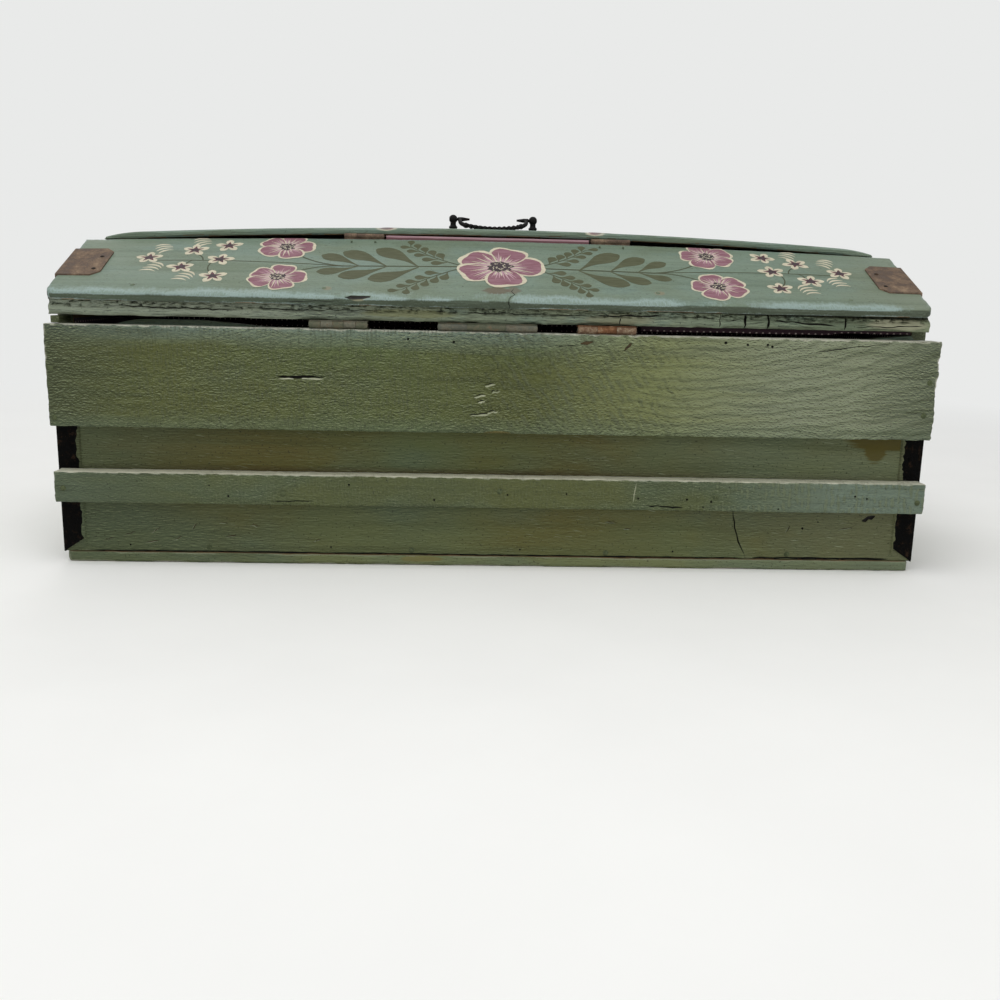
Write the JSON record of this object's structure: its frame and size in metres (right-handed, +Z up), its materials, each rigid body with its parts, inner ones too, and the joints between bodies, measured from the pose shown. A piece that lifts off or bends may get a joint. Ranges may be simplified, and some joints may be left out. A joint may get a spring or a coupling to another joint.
{
  "type": "painted dowry chest",
  "caption": "Long wooden chest with sloped, folk-painted lid on butt hinges, a hinged top plank with a twisted bail handle, rails, battens and corner irons.",
  "frame": {"origin": "on the floor under the middle of the box", "axes": "+X along the chest's length, to the right seen from the hinge side; +Y from the hinge side to the front; +Z up"},
  "size_m": [0.9922, 0.452, 0.4087],
  "materials": {
    "green_paint": "old matt sage green paint on softwood",
    "pink_paint": "worn dull pink paint on softwood",
    "black_iron": "black paint over forged iron",
    "rusty_iron": "rust-brown sheet iron",
    "hinge_steel": "steel with paint traces and rust",
    "nail_iron": "iron nail heads painted over",
    "lining_cloth": "dark aubergine cotton with small white dots"
  },
  "bodies": {
    "box": {"base_plank_front": "green_paint", "base_plank_middle": "green_paint", "base_plank_rear": "green_paint", "corner_iron_front_left": "black_iron", "corner_iron_front_right": "black_iron", "corner_iron_nails": "black_iron", "corner_iron_rear_left": "black_iron", "corner_iron_rear_right": "black_iron", "front_batten": "green_paint", "front_board_lower": "green_paint", "front_board_upper": "green_paint", "front_top_rail": "green_paint", "front_wall_nails": "nail_iron", "left_end_board": "green_paint", "lid_hinge_left_lower_leaf": "hinge_steel", "lid_hinge_lower_screws": "hinge_steel", "lid_hinge_middle_lower_leaf": "hinge_steel", "lid_hinge_pins": "hinge_steel", "lid_hinge_right_lower_leaf": "hinge_steel", "lining_floor": "lining_cloth", "lining_front": "lining_cloth", "lining_left": "lining_cloth", "lining_rear": "lining_cloth", "lining_right": "lining_cloth", "rear_batten": "green_paint", "rear_board_lower": "green_paint", "rear_board_upper": "green_paint", "rear_top_rail": "green_paint", "rear_wall_nails": "nail_iron", "right_end_board": "green_paint"},
    "lid": {"flap_hinge_left_lid_leaf": "hinge_steel", "flap_hinge_lid_screws": "hinge_steel", "flap_hinge_pins": "hinge_steel", "flap_hinge_right_lid_leaf": "hinge_steel", "flap_lath": "pink_paint", "lid_front_panel": "green_paint", "lid_front_skirt": "green_paint", "lid_hinge_left_upper_leaf": "hinge_steel", "lid_hinge_middle_upper_leaf": "hinge_steel", "lid_hinge_right_upper_leaf": "hinge_steel", "lid_hinge_upper_screws": "hinge_steel", "lid_left_gable": "green_paint", "lid_panel_nails": "nail_iron", "lid_rear_panel": "green_paint", "lid_rear_skirt": "green_paint", "lid_right_gable": "green_paint", "lid_strap_front_left": "rusty_iron", "lid_strap_front_right": "rusty_iron", "lid_strap_rear_left": "rusty_iron", "lid_strap_rear_right": "rusty_iron", "lid_strap_screws": "rusty_iron"},
    "flap": {"flap_hinge_flap_screws": "hinge_steel", "flap_hinge_left_flap_leaf": "hinge_steel", "flap_hinge_right_flap_leaf": "hinge_steel", "flap_plank": "green_paint", "handle_nuts": "black_iron", "handle_post_left": "black_iron", "handle_post_right": "black_iron"},
    "bail": {"handle_bail": "black_iron"}
  },
  "joints": [
    {"name": "lid_hinge", "type": "hinge", "parent": "box", "child": "lid", "pos_m": [0, -0.2215, 0.2765], "axis": [1, 0, 0], "range_deg": [0, 120]},
    {"name": "flap_hinge", "type": "hinge", "parent": "lid", "child": "flap", "pos_m": [0, -0.0865, 0.3762], "axis": [1, 0, 0], "range_deg": [0, 115]},
    {"name": "bail_swing", "type": "hinge", "parent": "flap", "child": "bail", "pos_m": [-0.004, 0, 0.40331], "axis": [-1, 0, 0], "range_deg": [0, 125]}
  ]
}
